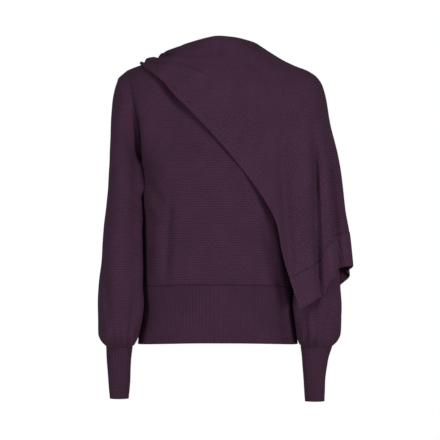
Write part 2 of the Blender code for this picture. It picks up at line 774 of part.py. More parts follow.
def main():
    for old in list(bpy.data.objects):
        bpy.data.objects.remove(old)
    grids = {
        "front_panel": (panel_grid(True), False),
        "back_panel": (panel_grid(False)[:, ::-1], False),
        "front_hem_rib": (hem_grid(True), False),
        "back_hem_rib": (hem_grid(False)[:, ::-1], False),
        "right_sleeve": (sleeve_grid(False)[::-1], True),
        "left_sleeve": (sleeve_grid(True)[::-1, ::-1], True),
        "right_cuff": (cuff_grid(False)[::-1], True),
        "left_cuff": (cuff_grid(True)[::-1, ::-1], True),
        "neckband": (neckband_grid(), True),
    }
    ribs = {
        "front_hem_rib": RIBS_PER_COLUMN,
        "back_hem_rib": RIBS_PER_COLUMN,
        "right_cuff": CUFF_RIBS_PER_COLUMN,
        "left_cuff": CUFF_RIBS_PER_COLUMN,
        "neckband": RIBS_PER_COLUMN,
    }
    own, shared = shared_normals(grids)
    for name, (points, closed) in grids.items():
        colour = PLUM_RIB if name in ribs else PLUM
        wall(name, points, own[name], shared[name], closed, CLOTH, colour, ribs.get(name, 0))

    level, rim, edge, end = scarf_surface()

    def foot_point(angle):
        z = foot_height(level, rim, edge, end, angle)
        return cape_point(level, np.array(angle), np.array(z))

    edge_angles = spread_angles(
        foot_point, SCARF_START_ANGLE, SCARF_SEAM_ANGLE, SCARF_EDGE_COLUMNS, 0.6
    )
    end_angles = spread_angles(
        foot_point, SCARF_SEAM_ANGLE, SCARF_BACK_ANGLE, SCARF_END_COLUMNS, 1.0
    )
    scarf = {
        "scarf_front": (scarf_grid(level, rim, edge, end, edge_angles), False),
        "scarf_arm": (scarf_grid(level, rim, edge, end, end_angles), False),
        "scarf_end_rib": (scarf_rib_grid(level, end, end_angles), False),
    }
    own, shared = shared_normals(scarf)
    for name, (points, closed) in scarf.items():
        rib = SCARF_RIBS_PER_COLUMN if name == "scarf_end_rib" else 0
        wall(name, points, own[name], shared[name], closed, SCARF_CLOTH, PLUM_SCARF, rib)


main()
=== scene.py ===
import math

import bpy
import numpy as np
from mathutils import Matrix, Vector


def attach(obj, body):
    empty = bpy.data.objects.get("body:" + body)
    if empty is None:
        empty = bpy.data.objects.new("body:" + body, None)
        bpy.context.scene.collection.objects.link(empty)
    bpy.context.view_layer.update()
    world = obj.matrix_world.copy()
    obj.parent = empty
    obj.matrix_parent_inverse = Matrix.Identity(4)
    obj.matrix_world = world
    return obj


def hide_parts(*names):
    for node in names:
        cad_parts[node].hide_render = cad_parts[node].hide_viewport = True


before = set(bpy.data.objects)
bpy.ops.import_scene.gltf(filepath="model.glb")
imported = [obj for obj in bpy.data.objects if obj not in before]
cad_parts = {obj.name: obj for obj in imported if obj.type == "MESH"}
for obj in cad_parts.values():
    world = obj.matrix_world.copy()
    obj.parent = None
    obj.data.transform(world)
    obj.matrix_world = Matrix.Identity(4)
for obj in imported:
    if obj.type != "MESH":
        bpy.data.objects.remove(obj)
mm = 0.001


print("stage: frame loaded")


# Curves, with all lengths in millimetres


def smoothCurve(x, y):
    # follows the points without overshooting, and goes straight on past them
    x = np.asarray(x, float)
    y = np.asarray(y, float)
    step = np.diff(x)
    rise = np.diff(y) / step
    slopes = np.zeros(len(x))
    for i in range(1, len(x) - 1):
        if rise[i - 1] * rise[i] > 0:
            before = 2 * step[i] + step[i - 1]
            after = step[i] + 2 * step[i - 1]
            slopes[i] = (before + after) / (before / rise[i - 1] + after / rise[i])
    slopes[0] = rise[0]
    slopes[-1] = rise[-1]

    def value(at):
        at = np.asarray(at, float)
        i = np.clip(np.searchsorted(x, at) - 1, 0, len(x) - 2)
        t = (at - x[i]) / step[i]
        inside = np.clip(t, 0, 1)
        a = inside * inside * (3 - 2 * inside)
        bend = inside * (1 - inside) * step[i]
        curve = y[i] * (1 - a) + y[i + 1] * a
        curve = curve + bend * ((1 - inside) * slopes[i] - inside * slopes[i + 1])
        return curve + (t - inside) * step[i] * np.where(t > 1, slopes[i + 1], slopes[i])

    return value


def tableCurves(table, along):
    names = table["columns"]
    rows = np.array(table["rows"], float)
    rows = rows[np.argsort(rows[:, names.index(along)])]
    x = rows[:, names.index(along)]
    return {name: smoothCurve(x, rows[:, k]) for k, name in enumerate(names) if name != along}


def rowsOf(table):
    return [dict(zip(table["columns"], row)) for row in table["rows"]]


def smoothStep(x):
    x = np.clip(x, 0, 1)
    return x * x * (3 - 2 * x)


def signedPower(value, power):
    return np.sign(value) * np.abs(value) ** power


def unit(vectors):
    return vectors / np.maximum(np.linalg.norm(vectors, axis=-1, keepdims=True), 1e-9)


# Body: rings of the torso, the armhole's oval and the neckline

body = {
    "levels": {
        "columns": ("z", "halfWidth", "front", "back", "square"),
        "rows": (
            (-604, 167.5, 102, 98, 2.3),
            (-582, 165.5, 103, 99, 2.3),
            (-545, 162.0, 104, 99, 2.3),
            (-500, 160.0, 107, 101, 2.3),
            (-484, 159.5, 109, 102, 2.3),
            (-470, 160.0, 113, 105, 2.3),
            (-420, 160.0, 117, 107, 2.3),
            (-350, 160.5, 119, 106, 2.3),
            (-290, 161.5, 119, 105, 2.3),
            (-226, 161.5, 116, 104, 2.3),
        ),
    },
    "hemZ": -604.0,
    "hemRibZ": -484.0,
    "hemRise": {"front": 5.5, "back": 1.0},
    "riseTop": -380.0,
    "riseRun": 100.0,
    "armholeDip": 22.0,
    "armhole": {"topX": 190.0, "topZ": -31.5, "leftTopZ": -37.0, "footX": 161.5, "footZ": -226.0},
    "armholeHalfDepth": 62.0,
    "armholeLean": 1.7,
    "neck": {"halfWidth": 86.0, "seamY": 4.0, "power": 1.15},
    "neckFront": {"depth": -70.0, "drop": 78.0},
    "neckBack": {"depth": 60.0, "drop": 14.0},
    "shoulderRise": 4.4,
    "shoulderShare": 8 / 26,  # of a panel's width, under each shoulder seam
    "necklineFrom": 0.6,
    "necklineRun": 0.9,
    "sideReach": 0.42,
    "sidePower": 1.4,
    "chestRoll": 0.35,
    "neckband": {"side": 13.0, "front": 16.0, "back": 16.0, "narrower": 11.0, "power": 1.3},
    "thickness": 1.8,
    "columns": 156,
    "lowerRows": 60,
    "armholeRows": 60,
    "hemRows": 24,
}
bodyLevel = tableCurves(body["levels"], "z")
armhole = body["armhole"]


def ringPoint(level, angle, z):
    # angle 0 is at the wearer's right, 90 at the front
    turn = np.radians(angle)
    power = 2 / level["square"](z)
    depth = np.where(np.sin(turn) >= 0, level["front"](z), level["back"](z))
    x = -level["halfWidth"](z) * signedPower(np.cos(turn), power)
    return x, -depth * signedPower(np.sin(turn), power)


def bodyRing(z, side):
    angle = np.linspace(0, 180, body["columns"] + 1)
    middle = np.sin(np.radians(angle))
    middle[[0, -1]] = 0
    below = (z - body["riseTop"]) / (armhole["footZ"] - body["riseTop"])
    dip = body["armholeDip"] * smoothStep(below)
    rise = body["hemRise"][side] * smoothStep((body["riseTop"] - z) / body["riseRun"])
    height = z - dip * middle**0.5 + rise * middle**2
    x, y = ringPoint(bodyLevel, angle if side == "front" else -angle, height)
    return np.stack([x, y, height], axis=1)


def armholePoint(turn, left):
    # turn 0 is the shoulder point, 90 the front, 180 the armpit
    a = np.radians(turn)
    share = (1 + np.cos(a)) / 2
    topZ = armhole["leftTopZ" if left else "topZ"]
    x = armhole["footX"] + (armhole["topX"] - armhole["footX"]) * share ** body["armholeLean"]
    z = armhole["footZ"] + (topZ - armhole["footZ"]) * share
    return np.stack([x if left else -x, -body["armholeHalfDepth"] * np.sin(a), z], axis=-1)


def topEdge(side):
    # shoulder seam, neckline, shoulder seam
    neck = body["neck"]
    hollow = body["neckFront" if side == "front" else "neckBack"]
    points = []
    for share in np.linspace(0, 1, body["columns"] + 1):
        near = min(share, 1 - share)
        way = -1 if share <= 0.5 else 1
        if near <= body["shoulderShare"] + 1e-9:
            s = near / body["shoulderShare"]
            x = armhole["topX"] + (neck["halfWidth"] - armhole["topX"]) * s
            topZ = armhole["topZ" if way < 0 else "leftTopZ"]
            z = topZ * (1 - s) + body["shoulderRise"] * math.sin(math.pi * s)
            points.append((way * x, neck["seamY"] * s, z))
        else:
            a = math.pi * (share - body["shoulderShare"]) / (1 - 2 * body["shoulderShare"])
            y = neck["seamY"] + (hollow["depth"] - neck["seamY"]) * math.sin(a)
            z = -hollow["drop"] * math.sin(a) ** neck["power"]
            points.append((-neck["halfWidth"] * math.cos(a), y, z))
    return np.array(points)


def panelGrid(side):
    levels = np.linspace(body["hemRibZ"], armhole["footZ"], body["lowerRows"] + 1)
    rows = [bodyRing(z, side) for z in levels]
    foot = rows[-1]
    top = topEdge(side)
    share = np.linspace(0, 1, body["columns"] + 1)
    near = np.minimum(share, 1 - share)
    fromShoulder = near / body["shoulderShare"] - body["necklineFrom"]
    mix = smoothStep(fromShoulder / body["necklineRun"])
    roll = 1 + (body["chestRoll"] - 1) * mix
    pull = smoothStep(1 - near / body["sideReach"]) ** body["sidePower"]
    for i in range(1, body["armholeRows"] + 1):
        t = i / body["armholeRows"]
        up = (1 - roll) * t + roll * math.sin(t * math.pi / 2)
        over = (1 - roll) * t + roll * (1 - math.cos(t * math.pi / 2))
        row = foot + (top - foot) * np.stack([t + 0 * up, over, up], axis=1)
        turn = 180 - 180 * t if side == "front" else 180 + 180 * t
        toRight = armholePoint(turn, False) - row[0]
        toLeft = armholePoint(turn, True) - row[-1]
        rows.append(row + pull[:, None] * np.where(share[:, None] <= 0.5, toRight, toLeft))
    rows[-1] = top
    return np.array(rows)


def hemGrid(side):
    levels = np.linspace(body["hemZ"], body["hemRibZ"], body["hemRows"] + 1)
    return np.array([bodyRing(z, side) for z in levels])


def neckbandGrid(rows):
    first = round(body["columns"] * body["shoulderShare"])
    last = body["columns"] - first + 1
    foot = np.concatenate([topEdge("front")[first:last], topEdge("back")[first:last][-2:0:-1]])
    band = body["neckband"]
    facing = np.clip(foot[:, 1] / body["neckFront"]["depth"], -1, 1)
    toFront = facing * (band["front"] - band["side"])
    toBack = -facing * (band["back"] - band["side"])
    rise = band["side"] + np.where(facing > 0, toFront, toBack)
    grid = []
    for t in np.linspace(0, 1, rows + 1):
        row = foot.copy()
        row[:, :2] *= 1 - band["narrower"] / body["neck"]["halfWidth"] * t ** band["power"]
        row[:, 2] += rise * t
        grid.append(row)
    return np.array(grid)


# Sleeves and cuffs: rings through an outer and an inner point

tubeColumns = (
    "outerX",
    "outerZ",
    "innerX",
    "innerZ",
    "midY",
    "halfDepth",
    "leftOuter",
    "leftInner",
    "leftBack",
)
sleeve = {
    "columns": tubeColumns,
    "rows": (
        (208.5, -47, 163.3, -231, -1, 62, -2.5, 0, 0),
        (217.0, -71, 163.8, -240, -2, 61, -3.0, 0, 0),
        (221.5, -98, 163.2, -252, -5, 60, -3.5, 0, 1),
        (223.5, -130, 162.4, -270, -10, 59, -3.5, 0.5, 3),
        (225.5, -175, 161.0, -294, -17, 57, -3, 1, 5),
        (228.0, -230, 160.0, -325, -25, 56, -1, 1.5, 8),
        (231.5, -285, 159.3, -362, -30, 55, 0, 2, 10),
        (236.0, -340, 158.8, -402, -33, 54, 3, 2.5, 11),
        (240.5, -395, 158.7, -440, -36, 53, 7, 2.5, 12),
        (244.5, -450, 158.7, -480, -38, 53, 9, 2.5, 13),
        (247.5, -505, 159.0, -520, -39, 54, 9, 1.5, 13),
        (249.2, -550, 161.0, -552, -40, 55, 8, 0.5, 12),
        (248.5, -580, 165.5, -578, -40, 52, 6.5, -1.5, 11),
        (242.5, -595, 170.5, -594, -39, 45, 6, -4.5, 10),
        (235.5, -603, 175.0, -603, -38, 36, 5.5, -5.5, 9),
        (232.5, -608, 178.5, -608, -38, 29, 5, -6.5, 9),
    ),
    "capEnd": -130.0,
    "cap": 80.0,
    "around": 120,
    "steps": 8,
}
cuff = {
    "columns": tubeColumns,
    "rows": (
        (232.5, -608, 178.5, -608, -38, 29, 5, -6.5, 9),
        (231.0, -640, 182.5, -640, -39, 26.5, -2.5, -7, 8),
        (228.5, -680, 184.0, -680, -40, 24.5, -4.5, -5.5, 8),
        (226.0, -716, 186.0, -716, -41, 23, -4.5, -4.5, 8),
    ),
    "leftLonger": 6.0,
}


def tubeRings(table, left):
    rows = np.array(table["rows"], float)
    index = np.arange(len(rows))
    at = np.linspace(0, len(rows) - 1, (len(rows) - 1) * sleeve["steps"] + 1)
    ring = {name: smoothCurve(index, rows[:, k])(at) for k, name in enumerate(tubeColumns)}
    cap = smoothStep((ring["outerZ"] - sleeve["capEnd"]) / sleeve["cap"])
    longer = left * table.get("leftLonger", 0.0) * smoothStep(at - (len(rows) - 2))
    drop = left * (armhole["topZ"] - armhole["leftTopZ"]) * cap + longer
    midY = ring["midY"] + left * ring["leftBack"]
    outer = np.stack([-ring["outerX"] - left * ring["leftOuter"], midY, ring["outerZ"] - drop], 1)
    inner = np.stack([-ring["innerX"] - left * ring["leftInner"], midY, ring["innerZ"] - longer], 1)
    a = np.linspace(0, 2 * math.pi, sleeve["around"], endpoint=False)[None, :, None]
    middle = ((outer + inner) / 2)[:, None]
    forward = np.stack([0 * at, -ring["halfDepth"], 0 * at], 1)[:, None]
    points = middle + np.cos(a) * (outer[:, None] - middle) + np.sin(a) * forward
    return points * (-1, 1, 1) if left else points


def sleeveGrid(left):
    turns = np.linspace(0, 360, sleeve["around"], endpoint=False)
    start = armholePoint(turns, left)
    rings = tubeRings(sleeve, left)
    mixes = np.linspace(0, 1, sleeve["steps"], endpoint=False)
    before = [start * (1 - t) + rings[0] * t for t in mixes]
    return np.concatenate([before, rings])


# Scarf: a cape of level rings, cut along its front edge and its end

scarf = {
    "levels": {
        "columns": ("z", "halfWidth", "front", "back", "square", "middle"),
        "rows": (
            (46, 24, 45, 40, 2.0, 1),
            (40, 42, 50, 46, 2.0, 1),
            (33, 60, 54, 50, 2.0, 2),
            (25, 78, 57, 54, 2.0, 3),
            (16, 92, 60, 57, 2.0, 3),
            (4, 113, 65, 62, 2.0, 2),
            (-8, 137, 70, 67, 2.0, -1),
            (-21, 167, 75, 73, 2.0, -4),
            (-31.5, 193, 80, 79, 2.1, -3),
            (-45, 210, 84, 84, 2.25, -1.5),
            (-62, 219, 90, 89, 2.4, 0),
            (-90, 226.5, 96, 96, 2.6, 0),
            (-143, 237, 107, 103, 2.7, 0),
            (-210, 253, 118, 110, 2.7, 0),
            (-300, 265.5, 126, 115, 2.6, 0),
            (-440, 284.5, 127, 115, 2.6, 0),
            (-560, 294, 124, 113, 2.6, 0),
        ),
    },
    "rim": {
        "columns": ("angle", "z"),
        "rows": (
            (-15, 5),
            (0, 9),
            (15, 17.5),
            (30, 27),
            (60, 35.5),
            (90, 38.5),
            (120, 37),
            (150, 33),
            (180, 25),
            (210, 12),
            (238, 1),
        ),
    },
    "edge": {
        "columns": ("x", "z"),
        "rows": (
            (-190, 3),
            (-158, -22),
            (-119, -53),
            (-92, -84),
            (-50, -126),
            (7, -188),
            (57, -249),
            (99, -309),
            (123, -356),
            (131, -398),
            (141, -438),
            (150, -466),
            (168, -528),
        ),
    },
    "end": {
        "columns": ("angle", "seamZ", "edgeZ"),
        "rows": (
            (115.3, -466, -533),
            (119.5, -455, -528),
            (127.5, -438, -510),
            (133.5, -424, -498),
            (138, -401, -475),
            (142, -392, -464),
            (147, -387, -458),
            (151, -377, -446),
            (158, -372, -441),
            (172, -370, -440),
            (185, -384, -452),
            (194, -395, -463),
            (205, -412, -481),
            (226, -437, -507),
            (238, -459, -529),
        ),
    },
    "startAngle": -15.0,
    "seamAngle": 115.3,
    "cornerAngle": 119.5,
    "backAngle": 238.0,
    "folds": {
        "columns": ("angle", "endAngle", "halfWidth", "depth", "lean", "startZ", "fullZ"),
        "rows": (
            (105, 98, 6, 4, 0, -150, -240),
            (118, 116, 7, 9, 0, -80, -300),
            (145, 130, 5, 13, 2.5, -80, -350),
            (161, 149.5, 5, 13, -2.5, -80, -380),
            (184, 185, 6, 11, 1.5, -80, -360),
            (204, 206, 6.5, 13, -1.5, -80, -330),
            (224, 222, 7, 12, 0, -110, -330),
        ),
    },
    "pleats": {
        "columns": ("share", "frontShare", "height", "halfWidth", "reach"),
        "rows": (
            (0.95, 0.90, 5.0, 0.06, 45),
            (0.87, 0.74, -3.0, 0.06, 50),
            (0.74, 0.44, 7.0, 0.14, 110),
            (0.46, 0.25, -3.0, 0.10, 70),
            (0.24, 0.10, 5.0, 0.12, 95),
        ),
    },
    "pleatStart": 6.0,
    "pleatTurn": 90.0,
    "pleatPast": 1.2,
    "thickness": 1.6,
    "edgeColumns": 120,
    "endColumns": 300,
    "rows": 110,
    "ribRows": 16,
    "lowestZ": -560.0,
    "halvings": 30,
    "edgeSamples": 200,
    "heightSamples": 240,
}
capeLevel = tableCurves(scarf["levels"], "z")
rimZ = tableCurves(scarf["rim"], "angle")["z"]
edgeZ = tableCurves(scarf["edge"], "x")["z"]
endZ = tableCurves(scarf["end"], "angle")


def capePoint(angle, z):
    x, y = ringPoint(capeLevel, angle, z)
    return np.stack([x + capeLevel["middle"](z), y, z + 0 * x], axis=-1)


def capeNormal(angle, z):
    across = capePoint(angle + 0.5, z) - capePoint(angle - 0.5, z)
    up = capePoint(angle, z + 1) - capePoint(angle, z - 1)
    return unit(np.cross(across, up))


def footHeight(angle):
    if angle > scarf["seamAngle"]:
        return float(endZ["seamZ"](angle))
    # where the front edge crosses this angle, found by halving
    high = float(rimZ(angle))
    low = scarf["lowestZ"]
    for _ in range(scarf["halvings"]):
        z = (high + low) / 2
        x = float(capePoint(np.array(angle), np.array(z))[0])
        if z > float(edgeZ(x)):
            high = z
        else:
            low = z
    return (high + low) / 2


def spreadAngles(first, last, count, evenness):
    # evenly along the foot where evenness is 1, and evenly in angle where it is 0
    fine = np.linspace(first, last, scarf["edgeSamples"])
    points = np.array([capePoint(np.array(a), np.array(footHeight(a))) for a in fine])
    run = np.concatenate([[0], np.cumsum(np.linalg.norm(np.diff(points, axis=0), axis=1))])
    mixed = evenness * run / run[-1] + (1 - evenness) * np.linspace(0, 1, len(fine))
    return np.interp(np.linspace(0, 1, count + 1), mixed, fine)


def foldShift(angle, z):
    depth = np.zeros(np.broadcast(angle, z).shape)
    lean = depth.copy()
    for fold in rowsOf(scarf["folds"]):
        down = np.clip((fold["startZ"] - z) / (fold["startZ"] - fold["fullZ"]), 0, 1)
        centre = fold["angle"] + (fold["endAngle"] - fold["angle"]) * down
        away = (angle - centre) / fold["halfWidth"]
        strength = smoothStep(down) * np.exp(-away * away)
        depth += fold["depth"] * strength
        lean += fold["lean"] * strength
    return depth, lean


def pleatHeight(angle, share):
    height = np.zeros(np.broadcast(angle, share).shape)
    for pleat in rowsOf(scarf["pleats"]):
        turned = np.clip(angle / scarf["pleatTurn"], 0, scarf["pleatPast"])
        centre = pleat["share"] + (pleat["frontShare"] - pleat["share"]) * turned
        away = (share - centre) / pleat["halfWidth"]
        fade = 1 - smoothStep(angle / pleat["reach"])
        rise = smoothStep((angle - scarf["startAngle"]) / scarf["pleatStart"])
        height += pleat["height"] * fade * rise * np.exp(-away * away)
    return height


def foldedPoint(angle, z, lift=0.0):
    depth, lean = foldShift(angle, z)
    angle = angle + lean
    return capePoint(angle, z) + capeNormal(angle, z) * (lift - depth)[..., None]


def scarfGrid(angles):
    shares = np.linspace(0, 1, scarf["rows"] + 1)
    grid = []
    for angle in angles:
        fine = np.linspace(float(rimZ(angle)), footHeight(angle), scarf["heightSamples"])
        points = capePoint(np.full(len(fine), angle), fine)
        run = np.concatenate([[0], np.cumsum(np.linalg.norm(np.diff(points, axis=0), axis=1))])
        grid.append(np.interp(shares * run[-1], run, fine))
    z = np.array(grid).T[::-1]
    angleGrid = np.broadcast_to(angles, z.shape)
    shareGrid = np.broadcast_to(shares[::-1, None], z.shape)
    return foldedPoint(angleGrid, z, pleatHeight(angleGrid, shareGrid))


def scarfRibGrid(angles):
    share = (angles - angles[0]) / (angles[-1] - angles[0])
    lowAngles = scarf["cornerAngle"] + (angles[-1] - scarf["cornerAngle"]) * share
    grid = []
    for t in np.linspace(0, 1, scarf["ribRows"] + 1):
        angle = lowAngles * (1 - t) + angles * t
        z = endZ["edgeZ"](lowAngles) * (1 - t) + endZ["seamZ"](angles) * t
        grid.append(foldedPoint(angle, z))
    return np.array(grid)


# Wrinkles: soft troughs (below zero) and ridges, each from one place of a piece to another

creaseFade = {"start": 0.35, "end": 0.25}  # shares of its length over which a crease comes and goes


def creaseLift(table, across, up):
    unitAcross = table.get("unit", 1.0)
    lift = np.zeros(across.shape)
    for c in rowsOf(table):
        du, dv = (c["toX"] - c["x"]) * unitAcross, c["toZ"] - c["z"]
        length = math.hypot(du, dv)
        fromStart = (across - c["x"]) * unitAcross
        along = (fromStart * du + (up - c["z"]) * dv) / length**2
        side = (fromStart * dv - (up - c["z"]) * du) / length
        side = side - c["bow"] * np.sin(math.pi * np.clip(along, 0, 1))
        width = np.where(side < 0, c["left"], c["right"])
        ends = smoothStep(along / creaseFade["start"]) * smoothStep((1 - along) / creaseFade["end"])
        lift += c["height"] * ends * np.exp(-((side / width) ** 2))
    return lift


# The cloth is never quite even: broad and small swells, the same on both sides of a seam.
swells = {
    "columns": ("wave", "x", "y", "z", "phase", "height"),
    "rows": (
        (210, 1.0, 0.3, 0.4, 0.4, 0.50),
        (170, 0.2, 1.0, -0.5, 1.9, 0.45),
        (140, -0.6, 0.4, 1.0, 3.1, 0.45),
        (110, 1.0, -0.7, 0.3, 5.2, 0.35),
        (82, 0.9, 0.5, 0.8, 0.9, 0.30),
        (61, -0.8, 0.6, 0.5, 2.6, 0.22),
        (47, 0.7, 0.9, -0.6, 4.4, 0.16),
        (35, 1.0, -0.4, 0.9, 1.3, 0.12),
    ),
}


def swellLift(points):
    lift = np.zeros(points.shape[:-1])
    for s in rowsOf(swells):
        way = unit(np.array([s["x"], s["y"], s["z"]]))
        lift += s["height"] * np.sin(points @ way * 2 * math.pi / s["wave"] + s["phase"])
    return lift


creaseColumns = ("x", "z", "toX", "toZ", "left", "right", "height", "bow")
frontCreases = {
    "columns": creaseColumns,
    "rows": (
        (-97, -270, -108, -490, 10, 6, -4.5, 3),
        (-122, -300, -126, -488, 13, 10, 3.5, 2),
        (-84, -330, -92, -486, 9, 14, 2.0, -2),
        (-152, -238, -84, -345, 9, 12, -2.5, 8),
        (-158, -262, -112, -352, 8, 8, 2.0, 5),
        (-60, -410, -66, -486, 8, 10, 1.6, 1),
        (-38, -430, -40, -486, 6, 6, -1.4, -1),
        (-12, -395, -15, -486, 9, 8, 1.3, 2),
        (22, -420, 21, -486, 7, 7, -1.2, 0),
        (52, -380, 60, -486, 11, 9, 1.8, -3),
        (86, -400, 92, -486, 8, 8, -1.8, 2),
        (112, -330, 122, -486, 12, 10, 2.4, -3),
        (-20, -120, 60, -215, 16, 16, -1.6, 6),
        (-70, -150, -20, -300, 22, 18, 1.6, -8),
        (60, -250, 75, -400, 18, 16, -1.5, 4),
        (92, -300, 156, -640, 8, 12, -9.0, 0),
    ),
}
backCreases = {
    "columns": creaseColumns,
    "rows": (
        (-58, -250, -70, -488, 12, 9, -3.6, 4),
        (-84, -300, -92, -488, 13, 10, 3.0, 3),
        (72, -235, 84, -488, 9, 12, -3.2, -5),
        (98, -290, 108, -488, 12, 12, 2.6, -3),
        (8, -330, 4, -488, 14, 12, 1.8, 3),
        (152, -240, 78, -330, 10, 10, -2.6, -8),
        (-152, -242, -82, -338, 10, 10, -2.6, 8),
        (130, -262, 60, -372, 9, 9, 1.8, -6),
        (-120, -266, -50, -368, 9, 9, 1.8, 6),
        (-30, -420, -33, -486, 7, 8, -1.5, 1),
        (36, -425, 35, -486, 7, 7, 1.4, 1),
        (-125, -410, -132, -486, 8, 8, -1.5, 1),
        (132, -400, 138, -486, 8, 8, 1.5, 1),
        (-100, -40, 100, -58, 18, 22, -1.6, -10),
        (-60, -95, 60, -100, 20, 24, 1.4, -8),
    ),
}
# On a sleeve, x is degrees round it from its outer line, towards the front first.
sleeveCreases = {
    "columns": creaseColumns,
    "unit": 0.9,
    "rows": (
        (150, -205, 150, -598, 14, 14, 8.0, 0),
        (150, -200, 150, -300, 13, 13, 12.0, 0),
        (150, -480, 150, -612, 14, 14, 5.0, 0),
        (95, -70, 138, -190, 13, 13, 3.5, 4),
        (30, -120, 52, -330, 16, 13, 1.8, 6),
        (165, -330, 70, -292, 9, 7, -2.6, 6),
        (168, -372, 78, -352, 8, 8, -2.2, -5),
        (160, -352, 90, -322, 8, 8, 1.8, 3),
        (40, -400, 66, -575, 12, 8, -2.8, 5),
        (18, -420, 30, -585, 10, 12, 2.2, 4),
        (88, -430, 104, -590, 9, 12, -2.4, -4),
        (118, -470, 112, -590, 9, 9, 2.2, 3),
        (-40, -150, -70, -420, 16, 16, -2.4, 8),
        (-95, -260, -160, -350, 9, 9, -2.8, 5),
        (-88, -300, -150, -392, 8, 8, 2.2, 5),
        (-30, -440, -52, -585, 9, 9, 2.4, -4),
        (-80, -430, -96, -590, 9, 11, -2.6, 4),
        (-128, -450, -140, -590, 10, 9, 2.0, 3),
    ),
}
scarfCreases = {
    "columns": creaseColumns,
    "rows": (
        (-138, -3, -10, -54, 4, 12, 5.0, -3),
        (-124, -4, -70, -31, 4, 3, -4.0, -1),
        (-152, -13, -100, -19, 3, 3, -4.0, 0),
        (-140, -24, -60, -66, 8, 8, 2.0, -2),
        (-136, 1, -92, 1, 5, 5, -8.0, 0),
        (-96, 9, -20, 12, 5, 8, 3.0, 2),
        (-84, 2, 10, 3, 6, 9, -2.4, 2),
        (-60, -20, 60, -40, 9, 12, -2.0, -6),
        (128, -140, 154, -500, 9, 11, -6.0, 0),
        (188, -140, 200, -560, 8, 14, 3.0, 0),
        (200, -124, 214, -560, 4, 9, -8.0, 0),
        (214, -150, 244, -560, 7, 5, 5.0, 0),
        (226, -134, 262, -560, 11, 4, -8.0, 0),
        (92, -190, 84, -290, 7, 9, -2.2, 2),
        (60, -60, 130, -190, 20, 20, 1.6, 8),
        (150, -60, 176, -150, 12, 12, -1.6, 3),
    ),
}
scarfBackCreases = {
    "columns": creaseColumns,
    "rows": (
        (60, -60, 150, -170, 14, 16, 2.0, 6),
        (90, -120, 140, -260, 10, 12, -2.0, -4),
        (180, -90, 205, -220, 12, 12, 1.8, 3),
    ),
}
cuffGather = {
    "waves": 13,
    "uneven": 1.3,
    "unevenWaves": 3,
    "height": 2.0,
    "fromZ": -535.0,
    "toZ": -600.0,
    "seamZ": -608.0,
    "seamRun": 6.0,
}
armholeFold = {
    "depth": 8.0,
    "halfWidth": 9.0,
    "firstTurn": 30,
    "lastTurn": 176,
    "places": 74,
    "fromTurn": 62.0,
    "fullTurn": 104.0,
    "noneTurn": 178,
    "fadeTurn": 50,
}


def armholeLift(points):
    # the sleeve and the body fold towards each other along the armhole
    fold = armholeFold
    flat = points.reshape(-1, 3)
    fromTop = np.linspace(fold["firstTurn"], fold["lastTurn"], fold["places"])
    rise = smoothStep((fromTop - fold["fromTurn"]) / (fold["fullTurn"] - fold["fromTurn"]))
    depth = fold["depth"] * rise * smoothStep((fold["noneTurn"] - fromTop) / fold["fadeTurn"])
    lift = np.zeros(len(flat))
    for left in (False, True):
        for turns in (fromTop, 360 - fromTop):
            away = np.full(len(flat), 1e9)
            nearest = np.zeros(len(flat), int)
            for k, place in enumerate(armholePoint(turns, left)):
                distance = ((flat - place) ** 2).sum(axis=1)
                better = distance < away
                away[better] = distance[better]
                nearest[better] = k
            lift -= depth[nearest] * np.exp(-away / fold["halfWidth"] ** 2)
    return lift.reshape(points.shape[:-1])


# Cloth: shared normals at the seams, and the closed thin shell


def gridNormals(points, closed):
    if closed:
        across = np.roll(points, -1, axis=1) - np.roll(points, 1, axis=1)
    else:
        across = np.gradient(points, axis=1)
    return unit(np.cross(across, np.gradient(points, axis=0)))


def borderIndex(shape, closed):
    mask = np.zeros(shape[:2], bool)
    mask[[0, -1]] = True
    if not closed:
        mask[:, [0, -1]] = True
    return np.argwhere(mask)


def sharedNormals(grids):
    made = {name: gridNormals(points, closed) for name, (points, closed) in grids.items()}
    totals = {}
    for name, (points, closed) in grids.items():
        for i, j in borderIndex(points.shape, closed):
            totals.setdefault(tuple(np.round(points[i, j], 1)), []).append((name, i, j))
    middle = np.array([0, 0, (armhole["topZ"] + armhole["footZ"]) / 2])
    for key, places in totals.items():
        total = sum(made[name][i, j] for name, i, j in places) / len(places)
        # at the armpit body and sleeve lie back to back, and only the way down is left
        away = (np.array(key) - middle) * (0, 1, 1)
        total = total + (1 - np.linalg.norm(total)) * away / max(np.linalg.norm(away), 1)
        for name, i, j in places:
            made[name][i, j] = total / np.linalg.norm(total)
    return made


def runLengths(points, closed):
    # how far each point lies across the piece, from its middle, and up from its foot
    if closed:
        points = np.concatenate([points, points[:, :1]], axis=1)
    steps = np.linalg.norm(np.diff(points, axis=1), axis=2)
    across = np.concatenate([np.zeros((len(points), 1)), np.cumsum(steps, axis=1)], axis=1)
    across = (across / across[:, -1:] - 0.5) * np.median(across[:, -1])
    rise = np.linalg.norm(np.diff(points, axis=0), axis=2)
    along = np.concatenate([np.zeros((1, points.shape[1])), np.cumsum(rise, axis=0)])
    return across, along


farFromSeam = 50.0


def seamDistance(across, along, sewn):
    # distance to the nearest sewn border, and the place along it
    fromStart = across - across[:, :1]
    choices = {
        "foot": (along, across),
        "top": (along[-1:] - along, across),
        "start": (fromStart, along),
        "end": (fromStart[:, -1:] - fromStart, along),
    }
    distance = np.full(across.shape, farFromSeam)
    place = np.zeros(across.shape)
    for name in sewn:
        away, run = choices[name]
        nearer = away < distance
        distance[nearer] = away[nearer]
        place[nearer] = run[nearer]
    return distance, place


